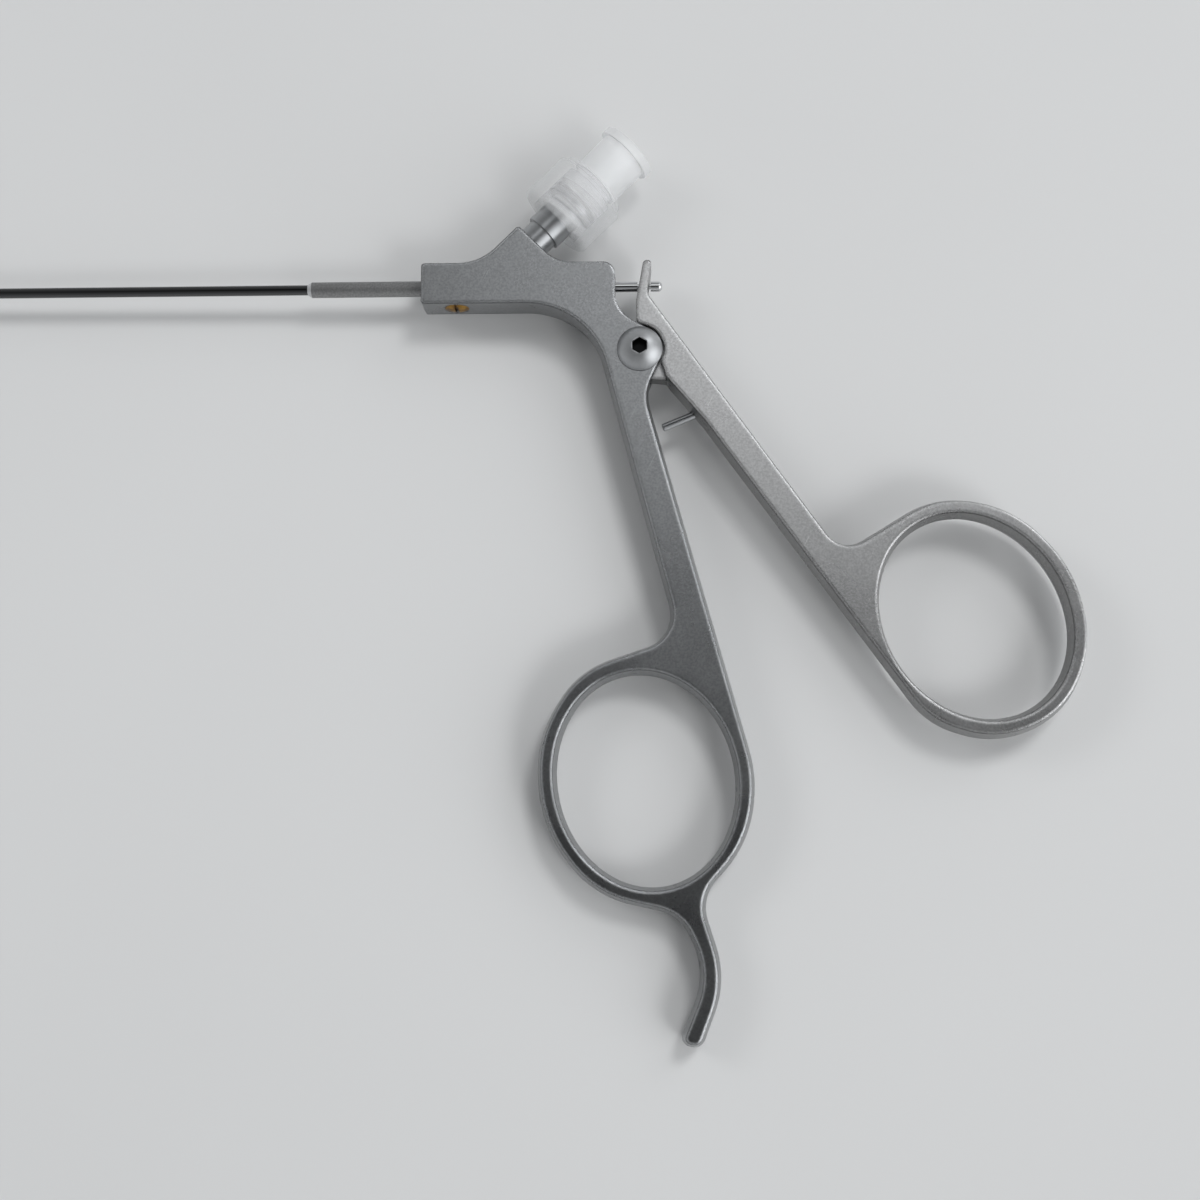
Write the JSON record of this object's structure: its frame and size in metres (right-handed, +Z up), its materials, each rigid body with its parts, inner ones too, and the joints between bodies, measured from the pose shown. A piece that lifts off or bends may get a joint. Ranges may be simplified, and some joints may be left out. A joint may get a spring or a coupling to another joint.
{
  "type": "rigid biopsy forceps",
  "caption": "Long rigid biopsy forceps with a slim straight shaft, cup jaws at its tip, a ring handle with a finger hook and a side flush port.",
  "frame": {"origin": "on the axis of the shaft, where the slim shaft tube leaves the ferrule in front of the handle; mid thickness of the handles", "axes": "the shaft runs from the origin towards -X to the jaws; +Y is the flush port's side of the handle, -Y the finger rings' side; +Z is up with the forceps lying flat"},
  "size_m": [0.5098, 0.1312, 0.0118],
  "materials": {
    "front_handle": "bead-blasted, dark satin",
    "thumb_handle": "bead-blasted, satin",
    "dark_screw": "turned, satin",
    "bright_pin": "bright",
    "lock_screw": "turned brass",
    "shaft_ferrule": "matt",
    "polished_steel": "polished",
    "shaft_tube": "polished",
    "port_stub": "turned, satin",
    "frosted_plastic": "frosted, translucent",
    "drive_rod": "polished",
    "black_rubber": "rubber"
  },
  "bodies": {
    "frame": {"front_handle": "front_handle", "pivot_screw": "dark_screw", "lock_screw": "lock_screw", "shaft_ferrule": "shaft_ferrule", "ferrule_cone": "polished_steel", "shaft_tube": "shaft_tube", "jaw_yoke": "polished_steel", "jaw_pivot_pin": "bright_pin", "port_stub": "port_stub", "luer_hub": "frosted_plastic", "rod_seal": "black_rubber", "seal_washer": "bright_pin"},
    "thumb_lever": {"thumb_handle": "thumb_handle", "stop_pin": "bright_pin"},
    "drive": {"drive_rod": "drive_rod", "pull_wire": "bright_pin", "drive_blade": "bright_pin", "drive_pin": "bright_pin"},
    "jaw_up": {"upper_jaw": "polished_steel"},
    "jaw_down": {"lower_jaw": "polished_steel"},
    "collar": {"luer_collar": "frosted_plastic"}
  },
  "joints": [
    {"name": "grip", "type": "hinge", "parent": "frame", "child": "thumb_lever", "pos_m": [0.04825, -0.01, 0], "axis": [0, 0, 1], "range_deg": [-4.5, 0.5]},
    {"name": "drive_slide", "type": "slide", "parent": "frame", "child": "drive", "axis": [1, 0, 0], "range_m": [-0.00009, 0.00079]},
    {"name": "upper_jaw_turn", "type": "hinge", "parent": "frame", "child": "jaw_up", "pos_m": [-0.39529, 0, 0], "axis": [0, 0, 1], "range_deg": [-3.1, 27.1]},
    {"name": "lower_jaw_turn", "type": "hinge", "parent": "frame", "child": "jaw_down", "pos_m": [-0.39529, 0, 0], "axis": [0, 0, 1], "range_deg": [-27.1, 3.1]},
    {"name": "collar_turn", "type": "hinge", "parent": "frame", "child": "collar", "pos_m": [0.026, 0, 0], "axis": [0.7071, 0.7071, 0], "range_deg": [0, 270]}
  ],
  "couplings": [
    {"joint": "drive_slide", "follows": "grip", "m_per_rad": -0.01},
    {"joint": "upper_jaw_turn", "follows": "grip", "ratio": -6},
    {"joint": "lower_jaw_turn", "follows": "grip", "ratio": 6}
  ]
}
